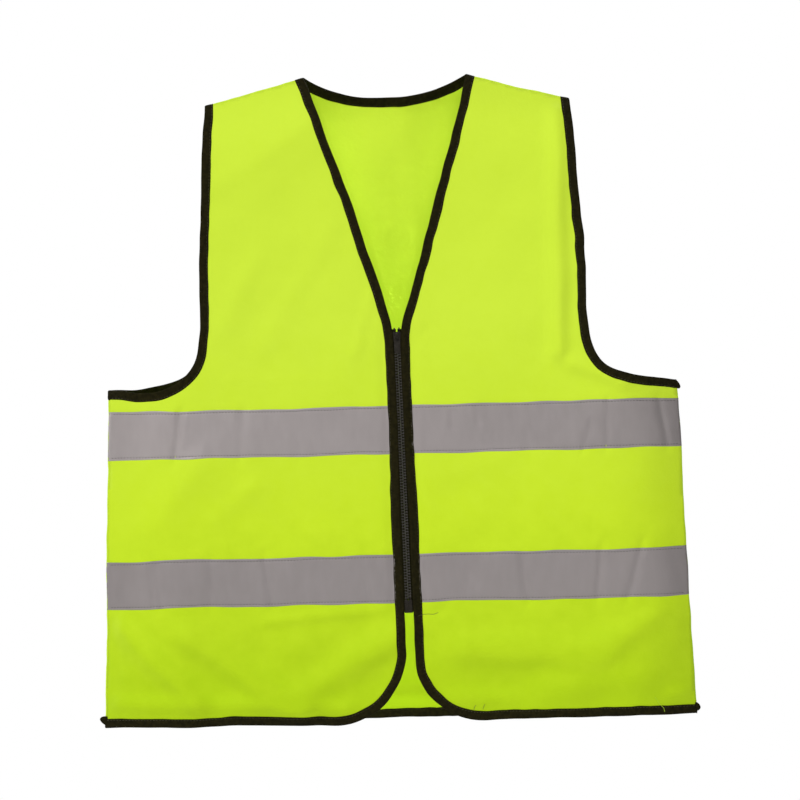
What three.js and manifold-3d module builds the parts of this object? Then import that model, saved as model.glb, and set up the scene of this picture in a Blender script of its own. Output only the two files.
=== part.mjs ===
// High visibility vest: sleeveless, two reflective bands round the body, dark folded binding on every
// edge and an open-end zip down the front. It stands as if worn, its front facing -Y.
// Millimetres. x runs to the wearer's left, y to the back, z up. A "drop" is a depth below the neck
// points, so z = -drop. The origin lies between the two neck points, in the plane of the side seams.
import * as THREE from "three";
import { mergeVertices } from "three/addons/utils/BufferGeometryUtils.js";
import Module from "manifold-3d";

const wasm = await Module();
wasm.setup();

// ---- cloth
const CLOTH = 1;
const GAP = 0.3;
const TAPE = 0.8;
const BINDING_THICK = 3.8;
const BINDING_WIDTH = 8;
const BINDING_WALL = 1;

// ---- how the front and back panels stand off the plane of the side seams
const SEAM_STANDOFF = (CLOTH + GAP) / 2;
const STANDOFF = 38;
const CLOSING_POWER = 1.6;
const SHOULDER_RISE = 90;
const FLAT_HALF_WIDTH = 200;

// ---- silhouette
const SHOULDER = { drop: -21.7, slope: 0.265, round: 40 };
const SIDE_SEAM = { x: 293.5, drop: 325, slope: 0.0364 };
const HEM = { front: 668, back: 664 };
const BACK_NECK = { half: 85, drop: 25.5, power: 2.5, steps: 9, over: 8 };
const ARMHOLE = [
  [188.5, -30], [189.5, 27], [193.5, 90], [197.5, 180], [200, 248],
  [205, 285], [217, 306], [241, 318], [268, 322], [294, 323.5], [340, 324],
];
const V_NECK = { slope: 0.31, foot: 260, round: 5.1 };
const ZIP_HALF_GAP = 4.8;
const FRONT_CORNER = { top: 589, width: 75, steps: 8 };
const EDGE_STATIONS = [-12, 60, 130, 200, 225, 245, 260, 275, 300, 350, FRONT_CORNER.top];
const BANDS = { upper: [342.5, 392.5], lower: [496, 546] };
const BEYOND = 340;

// ---- the line that each front folds back about when it is open
const FOLD = { drop: 80, hem: 200 };

// ---- zip, in its own frame: u across, w down from the zip's top
const ZIP = { x: 5.5, top: 265, lean: 0.0171 };
const ZIP_Y = -(STANDOFF - BINDING_THICK / 2 - GAP - 0.3);
const TAPE_EDGE = { inner: 3.5, outer: 12.5, notch: 5.2, thick: 0.6, top: -3, end: 292 };
const TEETH = { pitch: 2.9, size: 1.15, first: 15, last: 270, thick: 2.4, root: 2.2, spine: 3.2, reach: 0.6 };
const SLIDER = { top: 1.5, length: 11.5, half: 4.25, plate: 1.1, clear: 1.55, flange: 0.75, inner: 0.6 };
const LUG = { width: 2.2, start: 2, length: 6.6, height: 3.2, shoulder: 1, eye: 1.5, hole: 1.05 };
const PULL = { pin: 0.75, half: 3.3, window: 1.5, arm: 4.6, length: 17, thick: 1.4 };
const BOX = { top: 278.5, length: 13, half: 4.25, thick: 4.4, floor: 2.2, pocket: 2.6, wall: 0.9 };
const PIN = { inner: 1.2, outer: 3.2, thick: 2 };

const SIDES = [["right", -1], ["left", 1]];

// ---- materials
const cloth = (color) => new THREE.MeshStandardMaterial({ color, roughness: 0.85, metalness: 0 });
const fluorescent = () => cloth(0xc4ee2a);
const binding = () => cloth(0x1c160c);
const reflective = () => new THREE.MeshStandardMaterial({ color: 0x968d90, roughness: 0.5, metalness: 0.1 });
const plastic = () => new THREE.MeshStandardMaterial({ color: 0x17140f, roughness: 0.4, metalness: 0 });
const zipTape = () => cloth(0x15120d);

// ---- solids: shapes become manifold solids only to be cut and joined
function solid(geometry) {
  const bare = new THREE.BufferGeometry();
  bare.setAttribute("position", geometry.getAttribute("position"));
  if (geometry.index) bare.setIndex(geometry.index);
  const merged = mergeVertices(bare, 1e-4);
  return new wasm.Manifold(
    new wasm.Mesh({
      numProp: 3,
      vertProperties: new Float32Array(merged.attributes.position.array),
      triVerts: new Uint32Array(merged.index.array),
    }),
  );
}

function mesh(name, body, material) {
  const made = body.getMesh();
  const geometry = new THREE.BufferGeometry();
  geometry.setAttribute("position", new THREE.BufferAttribute(new Float32Array(made.vertProperties), 3));
  geometry.setIndex(new THREE.BufferAttribute(new Uint32Array(made.triVerts), 1));
  geometry.computeVertexNormals();
  const node = new THREE.Mesh(geometry, material);
  node.name = name;
  return node;
}

// A flat outline of [x, drop] points, made solid from y = low to y = high.
function prism(points, low, high) {
  const shape = new THREE.Shape(points.map(([x, drop]) => new THREE.Vector2(x, -drop)));
  const geometry = new THREE.ExtrudeGeometry(shape, { depth: high - low, bevelEnabled: false });
  geometry.rotateX(Math.PI / 2).translate(0, high, 0);
  return solid(geometry);
}

// ---- the two bent surfaces that every cloth piece follows
const shoulderDrop = (x) => SHOULDER.drop + SHOULDER.slope * Math.hypot(x, SHOULDER.round);
const sideSeamX = (drop) => SIDE_SEAM.x + (drop - SIDE_SEAM.drop) * SIDE_SEAM.slope;
const closing = (t) => Math.cos((Math.PI / 2) * t ** CLOSING_POWER);

// Columns run from one side seam (-2) over the flat middle (-1 to 1) to the other (2).
const HALF_COLUMNS = [0.15, 0.3, 0.48, 0.7, 1, 1.25, 1.5, 1.7, 1.86, 2];
const COLUMNS = [...HALF_COLUMNS.map((a) => -a).reverse(), 0, ...HALF_COLUMNS];
const RISE_ROWS = [0, 0.12, 0.26, 0.42, 0.6, 0.8, 1];
const LOWER_ROWS = [240, 330, 440, 560, 690];

// A closed slab of two grids, one over the other in y, with walls round them. Both grids split their
// squares along the same diagonal, so stacked sheets keep their gap even where a square is twisted.
function closedGrid(columns, rows, place) {
  const at = (column, row, layer) => (layer * (rows + 1) + row) * (columns + 1) + column;
  const points = [];
  for (let layer = 0; layer < 2; layer++)
    for (let row = 0; row <= rows; row++)
      for (let column = 0; column <= columns; column++) points.push(...place(column, row, layer));
  const index = [];
  const square = (p, q, r, s) => index.push(p, q, r, p, r, s);
  for (let row = 0; row < rows; row++) {
    for (let column = 0; column < columns; column++) {
      const corners = [[0, 0], [0, 1], [1, 1], [1, 0]].map(([c, r]) => [column + c, row + r]);
      const [low, high] = [0, 1].map((layer) => corners.map(([c, r]) => at(c, r, layer)));
      square(...low);
      square(high[0], high[3], high[2], high[1]);
    }
    square(at(0, row + 1, 0), at(0, row, 0), at(0, row, 1), at(0, row + 1, 1));
    square(at(columns, row + 1, 0), at(columns, row + 1, 1), at(columns, row, 1), at(columns, row, 0));
  }
  for (let column = 0; column < columns; column++) {
    square(at(column, 0, 0), at(column + 1, 0, 0), at(column + 1, 0, 1), at(column, 0, 1));
    square(at(column, rows, 0), at(column, rows, 1), at(column + 1, rows, 1), at(column + 1, rows, 0));
  }
  const geometry = new THREE.BufferGeometry();
  geometry.setAttribute("position", new THREE.Float32BufferAttribute(points, 3));
  return geometry.setIndex(index);
}

// A closed sheet between two standoffs from the middle surface of a panel, face -1 at the front and +1
// at the back. It ends at the shoulder line and at the side seams, or past them by a share of the bend.
function sheet(face, inner, outer, past = 0) {
  const rows = RISE_ROWS.length + LOWER_ROWS.length - 1;
  return solid(
    closedGrid(COLUMNS.length - 1, rows, (column, row, layer) => {
      const a = COLUMNS[column];
      const bend = Math.abs(a) === 2 ? 1 + past : Math.max(Math.abs(a) - 1, 0);
      const flatX = Math.sign(a) * Math.min(Math.abs(a), 1) * FLAT_HALF_WIDTH;
      const rise = row === 0 ? -past : (RISE_ROWS[row] ?? 1);
      const lower = LOWER_ROWS[row - RISE_ROWS.length];
      const drop = lower ?? shoulderDrop(flatX) + rise * SHOULDER_RISE;
      const x = flatX + Math.sign(a) * bend * (sideSeamX(drop) - FLAT_HALF_WIDTH);
      const middle = SEAM_STANDOFF + (STANDOFF - SEAM_STANDOFF) * closing(bend) * closing(1 - rise);
      const offset = (layer === 1) === (face > 0) ? outer : inner;
      return [x, face * (middle + offset), -drop];
    }),
  );
}

const clothSheet = (face) => sheet(face, -CLOTH / 2, CLOTH / 2);
const bandSheet = (face) => sheet(face, CLOTH / 2 + GAP, CLOTH / 2 + GAP + TAPE);
const foldSheet = (face) => sheet(face, -BINDING_THICK / 2, BINDING_THICK / 2);
const slotSheet = (face) => sheet(face, -CLOTH / 2 - GAP, CLOTH / 2 + GAP, 0.03);

// ---- edges, as [x, drop] paths along the outside of their binding
const zipX = (drop) => ZIP.x + (drop - ZIP.top) * ZIP.lean;
const centreX = (drop) => (drop > ZIP.top ? zipX(drop) : ZIP.x * (1 - (1 - drop / ZIP.top) ** 2));

function edgeX(side, drop) {
  const slant = V_NECK.slope * (V_NECK.foot - drop);
  const half = ZIP_HALF_GAP + (slant + Math.hypot(slant, V_NECK.round)) / 2;
  return centreX(drop) + side * half;
}

function frontEdge(side) {
  const points = EDGE_STATIONS.map((drop) => [edgeX(side, drop), drop]);
  const start = edgeX(side, FRONT_CORNER.top);
  for (let k = 1; k <= FRONT_CORNER.steps; k++) {
    const turn = ((k / FRONT_CORNER.steps) * Math.PI) / 2;
    const height = HEM.front - FRONT_CORNER.top;
    points.push([
      start + side * FRONT_CORNER.width * (1 - Math.cos(turn)),
      FRONT_CORNER.top + height * Math.sin(turn),
    ]);
  }
  return [...points, [side * BEYOND, HEM.front]];
}

const armhole = (side) => ARMHOLE.map(([x, drop]) => [side * x, drop]);
const backHem = () => [[-BEYOND, HEM.back], [BEYOND, HEM.back]];

function backNeck() {
  const { half, drop, power, steps, over } = BACK_NECK;
  const points = [];
  for (let k = -steps; k <= steps; k++) {
    const x = (k / steps) * (half + over);
    points.push([x, drop * (1 - (Math.abs(x) / half) ** power)]);
  }
  return points;
}

// A path moved sideways; hand +1 moves it to the left of its travel as drawn with drop downwards.
function inset(points, hand, distance) {
  return points.map(([x, drop], i) => {
    const [x0, d0] = points[Math.max(i - 1, 0)];
    const [x1, d1] = points[Math.min(i + 1, points.length - 1)];
    const length = Math.hypot(x1 - x0, d1 - d0);
    const reach = (hand * distance) / length;
    return [x + (d1 - d0) * reach, drop - (x1 - x0) * reach];
  });
}

const strip = (points, hand, from, to) => [
  ...inset(points, hand, from),
  ...inset(points, hand, to).reverse(),
];

// ---- outlines of the panels, whose cut edges lie inside the binding's fold
const CUT = BINDING_WALL + GAP;
const frontSpan = [-100, -GAP / 2];
const backSpan = [GAP / 2, 100];

function frontOutline(side) {
  return [
    ...inset(frontEdge(side), side, CUT),
    ...inset(armhole(side), -side, CUT).reverse(),
  ];
}

const backOutline = () => [
  ...inset(armhole(-1), 1, CUT),
  [-BEYOND, HEM.back - CUT],
  [BEYOND, HEM.back - CUT],
  ...inset(armhole(1), -1, CUT).reverse(),
  ...inset(backNeck(), -1, CUT).reverse(),
];

// The part of a front that folds back (1) or that stays with the side seam (-1).
function foldHalf(side, part, span = frontSpan) {
  const top = [edgeX(side, FOLD.drop), FOLD.drop];
  const foot = [side * FOLD.hem, HEM.front];
  const across = (drop) => top[0] + ((foot[0] - top[0]) * (drop - top[1])) / (foot[1] - top[1]);
  const line = [[across(-40), -40], [across(HEM.front + 40), HEM.front + 40]];
  const cut = inset(line, -side, (part * GAP) / 2);
  const far = -part * side * 2 * BEYOND;
  return prism([cut[0], cut[1], [far, HEM.front + 40], [far, -40]], ...span);
}

// ---- bindings: a strip folded over the cut edge, with the cloth inside its slot
function folded(face, path, hand, span) {
  const outside = foldSheet(face).intersect(prism(strip(path, hand, 0, BINDING_WIDTH), ...span));
  const slot = slotSheet(face).intersect(
    prism(strip(path, hand, BINDING_WALL, BINDING_WIDTH + 2), -100, 100),
  );
  return { outside, slot };
}

function joinFolded(pieces) {
  const [first, ...rest] = pieces;
  const outside = rest.reduce((sum, piece) => sum.add(piece.outside), first.outside);
  return pieces.reduce((sum, piece) => sum.subtract(piece.slot), outside);
}

// Front and back strips of one binding reach past the plane of the seams, so that they join there.
const FRONT_JOINED = [-100, GAP];
const BACK_JOINED = [-GAP, 100];

const level = (top, foot, span) =>
  prism([[-BEYOND, top], [BEYOND, top], [BEYOND, foot], [-BEYOND, foot]], ...span);

function neckBinding() {
  const above = level(-40, FOLD.drop + 20, FRONT_JOINED);
  const fronts = SIDES.map(([, side]) => {
    const piece = folded(-1, frontEdge(side), side, FRONT_JOINED);
    const outside = piece.outside.intersect(above).intersect(foldHalf(side, -1, FRONT_JOINED));
    return { outside, slot: piece.slot };
  });
  return joinFolded([...fronts, folded(1, backNeck(), -1, BACK_JOINED)]);
}

const armholeBinding = (side) =>
  joinFolded([
    folded(-1, armhole(side), -side, FRONT_JOINED),
    folded(1, armhole(side), -side, BACK_JOINED),
  ]);

const backHemBinding = () => joinFolded([folded(1, backHem(), 1, backSpan)]);

// The fold line crosses a front's binding twice, so its hem part is taken from below the first crossing.
function frontBinding(side, part) {
  const whole = joinFolded([folded(-1, frontEdge(side), side, frontSpan)]);
  const from = part > 0 ? -40 : FOLD.drop + 40;
  return whole.intersect(foldHalf(side, part)).intersect(level(from, HEM.front + 30, frontSpan));
}

// ---- panels and bands
const backPanel = () => clothSheet(1).intersect(prism(backOutline(), ...backSpan));

const frontPanel = (side, part) =>
  clothSheet(-1).intersect(prism(frontOutline(side), ...frontSpan)).intersect(foldHalf(side, part));

const backBand = ([top, foot]) => bandSheet(1).intersect(level(top, foot, backSpan));

function frontBand(side, part, [top, foot]) {
  const start = (drop) => edgeX(side, drop) + side * (BINDING_WIDTH + GAP);
  const outline = [[start(top), top], [side * BEYOND, top], [side * BEYOND, foot], [start(foot), foot]];
  return bandSheet(-1).intersect(prism(outline, ...frontSpan)).intersect(foldHalf(side, part));
}

// ---- zip pieces, drawn in the zip's own frame: u is x, w runs down and the middle of the tape is y = 0
const block = (u0, u1, v0, v1, w0, w1) =>
  solid(new THREE.BoxGeometry(u1 - u0, v1 - v0, w1 - w0).translate((u0 + u1) / 2, (v0 + v1) / 2, -(w0 + w1) / 2));

const sided = (side, points) => points.map(([u, w]) => [side * u, w]);

function zipTapePiece(side) {
  const notchFoot = SLIDER.top + SLIDER.length + 1.5;
  const { inner, outer, notch, thick, top, end } = TAPE_EDGE;
  const boxEdge = BOX.half + GAP;
  const outline = sided(side, [
    [inner, top], [outer, top], [outer, end], [boxEdge, end], [boxEdge, BOX.top - GAP],
    [inner, BOX.top - GAP], [inner, notchFoot], [notch, notchFoot], [notch, SLIDER.top - 1], [inner, SLIDER.top - 1],
  ]);
  return prism(outline, -thick / 2, thick / 2);
}

function teeth(side) {
  const { pitch, size, first, last, thick, root, spine, reach } = TEETH;
  const start = first + (side > 0 ? 0 : pitch / 2);
  const count = Math.floor((last - first - pitch) / pitch);
  const outline = [[spine, first - 0.5], [root, first - 0.5]];
  for (let k = 0; k < count; k++) {
    const w = start + k * pitch;
    outline.push([root, w], [-reach, w], [-reach, w + size], [root, w + size]);
  }
  outline.push([root, last], [spine, last]);
  return prism(sided(side, outline), -thick / 2, thick / 2);
}

const topStop = (side) => {
  const [low, high] = [side * 1.7, side * TEETH.spine].sort((a, b) => a - b);
  return block(low, high, -1.2, 1.2, -2.6, 0.4);
};

// A slider wing is a plate with two flanges that reach round the teeth; face -1 is the front one.
function wing(face) {
  const { top, length, half, plate, clear, flange, inner } = SLIDER;
  const outline = [
    [-half, top + 1.2], [-half + 1.2, top], [half - 1.2, top], [half, top + 1.2],
    [half - 0.5, top + length - 0.8], [half - 1.3, top + length],
    [-half + 1.3, top + length], [-half + 0.5, top + length - 0.8],
  ];
  const whole = prism(outline, Math.min(face * inner, face * (clear + plate)), Math.max(face * inner, face * (clear + plate)));
  const channel = block(-half + flange, half - flange, -clear, clear, top - 1, top + length + 1);
  return whole.subtract(channel);
}

// The lug's eye and the pull's crossbar share this pivot.
const PIVOT_W = SLIDER.top + LUG.start + LUG.length / 2;
const WING_FACE = -(SLIDER.clear + SLIDER.plate);
const PIVOT_V = WING_FACE - LUG.eye;

// A side-on outline of (v, -w) points, made solid across the zip.
function slab(shape, half) {
  const geometry = new THREE.ExtrudeGeometry(shape, { depth: 2 * half, bevelEnabled: false, curveSegments: 5 });
  const axes = [new THREE.Vector3(0, 1, 0), new THREE.Vector3(0, 0, 1), new THREE.Vector3(1, 0, 0)];
  geometry.applyMatrix4(new THREE.Matrix4().makeBasis(...axes)).translate(-half, 0, 0);
  return solid(geometry);
}

function lug() {
  const { length, height, shoulder } = LUG;
  const foot = WING_FACE + 0.3;
  const top = WING_FACE - height;
  const reach = length / 2;
  const shape = new THREE.Shape([
    new THREE.Vector2(foot, reach - PIVOT_W),
    new THREE.Vector2(top + shoulder, reach - 0.4 - PIVOT_W),
    new THREE.Vector2(top, reach - 0.4 - shoulder - PIVOT_W),
    new THREE.Vector2(top, shoulder + 0.4 - reach - PIVOT_W),
    new THREE.Vector2(top + shoulder, 0.4 - reach - PIVOT_W),
    new THREE.Vector2(foot, -reach - PIVOT_W),
  ]);
  shape.holes.push(new THREE.Path().absarc(PIVOT_V, -PIVOT_W, LUG.hole, 0, 2 * Math.PI));
  return slab(shape, LUG.width / 2);
}

const sliderFront = () => wing(-1).add(lug());

function pullTab() {
  const { pin, half, window, arm, length, thick } = PULL;
  const span = [PIVOT_V - thick / 2, PIVOT_V + thick / 2];
  const foot = PIVOT_W + length;
  const plate = prism(
    [
      [-half, PIVOT_W - pin], [half, PIVOT_W - pin], [half, foot - 1.5],
      [half - 1.5, foot], [1.5 - half, foot], [-half, foot - 1.5],
    ],
    ...span,
  );
  const gap = block(-window, window, span[0] - 1, span[1] + 1, PIVOT_W - 2 * pin, PIVOT_W + arm);
  const bar = new THREE.CylinderGeometry(pin, pin, 2 * half - 0.4, 10).rotateZ(Math.PI / 2);
  return plate.subtract(gap).add(solid(bar.translate(0, PIVOT_V, -PIVOT_W)));
}

function retainerBox() {
  const { top, length, half, thick, floor, pocket, wall } = BOX;
  const depth = [top - 1, top + length - floor];
  const whole = block(-half, half, -thick / 2, thick / 2, top, top + length);
  const pinPocket = block(-wall - pocket, -wall, -thick / 2 + wall, thick / 2 - wall, ...depth);
  const openPocket = block(wall, wall + pocket, -thick, thick / 2 - wall, ...depth);
  return whole.subtract(pinPocket).subtract(openPocket);
}

function pin(side) {
  const [low, high] = [side * PIN.inner, side * PIN.outer].sort((a, b) => a - b);
  const foot = BOX.top + BOX.length - BOX.floor - GAP;
  return block(low, high, -PIN.thick / 2, PIN.thick / 2, TEETH.last + GAP, foot);
}

// ---- the vest
const vest = new THREE.Group();
vest.name = "high_visibility_vest";

function add(group, name, body, material) {
  group.add(mesh(name, body, material));
}

add(vest, "back_panel", backPanel(), fluorescent());
add(vest, "back_neck_binding", neckBinding(), binding());
add(vest, "back_hem_binding", backHemBinding(), binding());
for (const [height, drops] of Object.entries(BANDS)) {
  add(vest, `back_${height}_band`, backBand(drops), reflective());
}

for (const [name, side] of SIDES) {
  add(vest, `${name}_armhole_binding`, armholeBinding(side), binding());
  add(vest, `${name}_side_panel`, frontPanel(side, -1), fluorescent());
  add(vest, `${name}_front_panel`, frontPanel(side, 1), fluorescent());
  add(vest, `${name}_hem_binding`, frontBinding(side, -1), binding());
  add(vest, `${name}_front_binding`, frontBinding(side, 1), binding());
  for (const [height, drops] of Object.entries(BANDS)) {
    add(vest, `${name}_side_${height}_band`, frontBand(side, -1, drops), reflective());
    add(vest, `${name}_front_${height}_band`, frontBand(side, 1, drops), reflective());
  }
}

const zip = new THREE.Group();
zip.position.set(ZIP.x, ZIP_Y, -ZIP.top);
zip.rotation.y = -Math.atan(ZIP.lean);
vest.add(zip);
for (const [name, side] of SIDES) {
  add(zip, `${name}_zip_tape`, zipTapePiece(side), zipTape());
  add(zip, `${name}_zip_teeth`, teeth(side), plastic());
  add(zip, `${name}_top_stop`, topStop(side), plastic());
}
add(zip, "zip_slider_front", sliderFront(), plastic());
add(zip, "zip_slider_back", wing(1), plastic());
add(zip, "zip_pull_tab", pullTab(), plastic());
add(zip, "zip_retainer_box", retainerBox(), plastic());
add(zip, "zip_box_pin", pin(-1), plastic());
add(zip, "zip_insertion_pin", pin(1), plastic());

export default vest;
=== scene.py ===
import math
import random
from functools import partial

import bpy
import numpy as np
from mathutils import Matrix, Vector
from mathutils.geometry import delaunay_2d_cdt


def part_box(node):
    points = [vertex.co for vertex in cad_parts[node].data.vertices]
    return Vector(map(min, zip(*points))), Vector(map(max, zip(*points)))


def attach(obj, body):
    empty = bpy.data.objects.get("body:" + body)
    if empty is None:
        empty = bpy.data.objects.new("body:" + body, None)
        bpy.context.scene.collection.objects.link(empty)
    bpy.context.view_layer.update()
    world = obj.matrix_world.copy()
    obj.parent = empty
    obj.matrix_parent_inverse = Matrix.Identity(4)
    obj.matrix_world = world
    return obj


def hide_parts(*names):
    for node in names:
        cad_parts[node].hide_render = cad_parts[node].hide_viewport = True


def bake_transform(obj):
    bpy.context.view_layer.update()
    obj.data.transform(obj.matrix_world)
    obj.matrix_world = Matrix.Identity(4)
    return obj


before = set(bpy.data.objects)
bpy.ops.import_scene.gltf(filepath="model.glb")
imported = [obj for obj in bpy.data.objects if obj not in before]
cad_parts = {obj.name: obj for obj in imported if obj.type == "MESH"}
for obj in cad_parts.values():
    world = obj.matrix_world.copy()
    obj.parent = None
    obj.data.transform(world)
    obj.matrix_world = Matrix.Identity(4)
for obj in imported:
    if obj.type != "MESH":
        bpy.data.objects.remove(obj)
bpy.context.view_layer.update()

# The vest is drawn in its own flat terms, in millimetres: x runs to the wearer's left and a drop is a
# depth below the neck points. lift() then hangs a flat point on the front (face -1) or back (face 1).
MM = 0.001
SIDES = {"right": -1, "left": 1}
FRONT, BACK = -1, 1


def box_mm(node):
    low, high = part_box(node)
    return np.array(low) / MM, np.array(high) / MM


# ---- the vest's dimensions, from the frame where it holds them
STANDOFF = box_mm("back_panel")[1][1] - 0.5
SHOULDER_RISE = 90
CLOSING_POWER = 1.6
FLAT_HALF_WIDTH = 200
SHOULDER = {"drop": -21.7, "slope": 0.265, "round": 40}
SIDE_SEAM = {"x": 293.5, "drop": 325, "slope": 0.0364}
FRONT_HEM = -box_mm("right_front_binding")[0][2]
BACK_HEM = -box_mm("back_hem_binding")[0][2]
BACK_NECK = {"half": 88.8, "drop": 22.5, "power": 2.5}
ARMHOLE = [
    (188.5, -30), (189.5, 27), (193.5, 90), (197.5, 180), (200, 248),
    (205, 285), (217, 306), (241, 318), (268, 322), (294, 323.5), (340, 324),
]
ARMHOLE_SHIFT = 3.4
ARMHOLE_SAG = {FRONT: 2.8, BACK: -3.4}
V_NECK = {"slope": 0.31, "foot": 260, "round": 5.1}
ZIP_HALF_GAP = 4.8
ZIP_PINCH = 1.9
RIGHT_V_PINCH = 2.0
HEM_SAG = 2.8
FRONT_CORNER = {"top": 597.5, "lower": 2.5, "width": 74}
BANDS = {
    height: (-box_mm(f"back_{height}_band")[1][2], -box_mm(f"back_{height}_band")[0][2])
    for height in ("upper", "lower")
}
BINDING_WIDTH = 9.2
BINDING_STITCH = 7.75
BAND_STITCH = {"inset": 2.5, "start": 9, "stop": 3}
CUT_INSET = 2.0
SOFT_LIMIT = 5.6
CLOTH_THICK = 0.5
TAPE_THICK = 0.3
CLOTH_STEP = 3.6
EDGE_STEP = 2.5

# ---- the zip's dimensions: u across it, v towards the back and w down from the top of the zip
ZIP = {"x": 5.5, "top": 265, "lean": 0.0171}
ZIP_Y = (box_mm("right_zip_tape")[0][1] + box_mm("right_zip_tape")[1][1]) / 2
ZIP_TAPE = {"inner": 0.02, "outer": 12.5, "thick": 0.5, "top": -1.2, "end": 291.5}
TEETH = {"pitch": 2.9, "first": 15, "last": 276, "thick": 2.4}
SLIDER = {"clear": 1.55, "plate": 1.1, "rail": 3.85, "rib": 2.3}
BRIDGE = {"middle": 5.5, "reach": 3.4, "rise": 3.05, "power": 0.55, "half": 1.1, "thick": 0.84}
PIVOT_W, PIVOT_V = 6.8, -4.15
PULL = {"pin": 0.72, "arm": 2.4, "half": 3.3, "grip": 4.3, "length": 17, "thick": 1.4}
RIDGES = {"start": 6.2, "end": 15.6, "pitch": 1.55, "depth": 0.16}
RETAINER = {"top": 278.5, "length": 13, "half": 4.25, "thick": 4.4, "rib": 1.3, "rib_pitch": 2.3}


# ---- camera, at the photograph's angle: straight on, from far away, rolled a little
def make_camera():
    data = bpy.data.cameras.new("camera")
    camera = bpy.data.objects.new("camera", data)
    bpy.context.scene.collection.objects.link(camera)
    distance, seen_width, roll = 8.0, 0.824, math.radians(1.5)
    data.sensor_width = 36
    data.lens = data.sensor_width * distance / seen_width
    data.clip_end = 60
    across, up = math.cos(roll), math.sin(roll)
    turn = Matrix(((across, up, 0), (0, 0, -1), (-up, across, 0)))
    look_at = Vector((0.0071, -STANDOFF * MM, -0.337))
    camera.matrix_world = Matrix.Translation(look_at - Vector((0, distance, 0))) @ turn.to_4x4()
    bpy.context.scene.camera = camera


make_camera()
bpy.context.scene.view_settings.view_transform = "Standard"


# ---- the hanging shape
def smooth(t):
    t = np.clip(t, 0, 1)
    return t * t * (3 - 2 * t)


def unit(vectors):
    return vectors / np.linalg.norm(vectors, axis=-1, keepdims=True)


def hump(t, start, rise, fall, end):
    """0 up to start, 1 once rise past it, and back to 0 over the fall that ends at end."""
    return smooth((t - start) / rise) * smooth((end - t) / fall)


def closing(t):
    return np.cos(np.pi / 2 * np.clip(t, 0, 1) ** CLOSING_POWER)


def shoulder_drop(x):
    return SHOULDER["drop"] + SHOULDER["slope"] * np.hypot(x, SHOULDER["round"])


def side_seam_x(drop):
    return SIDE_SEAM["x"] + (drop - SIDE_SEAM["drop"]) * SIDE_SEAM["slope"]


def centre_x(drop):
    lower = ZIP["x"] + (drop - ZIP["top"]) * ZIP["lean"]
    upper = ZIP["x"] * (1 - (1 - drop / ZIP["top"]) ** 2)
    return np.where(drop > ZIP["top"], lower, upper)


def seam_share(x, drop):
    """0 on the shoulder line and the side seams, 1 on the flat of a panel."""
    rise = (drop - shoulder_drop(x)) / SHOULDER_RISE
    bend = (np.abs(x) - FLAT_HALF_WIDTH) / (side_seam_x(drop) - FLAT_HALF_WIDTH)
    return closing(bend) * closing(1 - rise)


def zip_freedom(x, drop):
    """0 beside the closed zip, which holds the cloth flat, 1 away from it."""
    along = hump(drop, 215, 50, 60, 590)
    return 1 - along * (1 - smooth((np.abs(x - centre_x(drop)) - 11) / 45))


def waves(x, drop, seed, length, count=6):
    """Smooth random relief, about -1 to 1, with features of about that length."""
    draw = random.Random(seed)
    total = np.zeros_like(x)
    for _ in range(count):
        turn = draw.uniform(0, math.tau)
        pace = math.tau / length * draw.uniform(0.6, 1.4)
        along = x * math.cos(turn) + drop * math.sin(turn)
        total = total + np.sin(along * pace + draw.uniform(0, math.tau))
    return total / math.sqrt(count)


# Soft folds in the cloth, each from (x, drop) to (x, drop), with its half width and its height
FRONT_FOLDS = [
    ((-284, 568), (-214, 638), 12, 8.5), ((-214, 580), (-112, 648), 14, 10.0),
    ((-133, 561), (-19, 552), 6, 2.8), ((-106, 640), (-8, 580), 16, 9.0),
    ((76, 594), (204, 602), 17, 11.0), ((204, 601), (262, 568), 12, 4.6),
    ((-306, 643), (-60, 651), 9, 5.0), ((60, 643), (110, 648), 9, 3.6),
    ((284, 648), (314, 647), 8, 3.6), ((-254, 462), (-204, 398), 15, 2.9),
    ((-183, 451), (-147, 425), 11, 1.8), ((-150, 424), (-82, 473), 11, 2.2),
    ((-174, 112), (-86, 49), 13, 1.7), ((-170, 250), (-139, 189), 12, 1.7),
    ((-130, 275), (-62, 164), 13, 1.6), ((-167, 311), (-64, 314), 5, 0.5),
    ((-36, 286), (-20, 230), 6, 1.6), ((50, 417), (108, 399), 13, 1.4),
    ((175, 45), (173, 288), 9, 7.0), ((190, 305), (236, 324), 8, 4.4),
    ((-26, 268), (-13, 284), 5, -2.6), ((19, 284), (33, 268), 5, -2.6),
    ((25, 556), (45, 555), 6, -2.2), ((150, 640), (250, 628), 16, 4.0),
    ((-60, 470), (-20, 520), 12, 1.6), ((150, 440), (230, 470), 18, 1.8),
]
BACK_FOLDS = [
    ((-150, 60), (-60, 160), 20, 4.2), ((150, 60), (70, 170), 20, 4.4),
    ((-240, 330), (-110, 440), 18, 5.0), ((230, 330), (120, 430), 18, -4.0),
    ((-60, 230), (70, 250), 22, 2.6), ((-220, 560), (-60, 640), 15, 8.0),
    ((40, 570), (220, 650), 15, -7.0), ((0, 430), (110, 480), 15, 3.6),
    ((20, 60), (28, 190), 10, -1.2), ((-290, 640), (280, 644), 9, 4.4),
]
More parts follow.
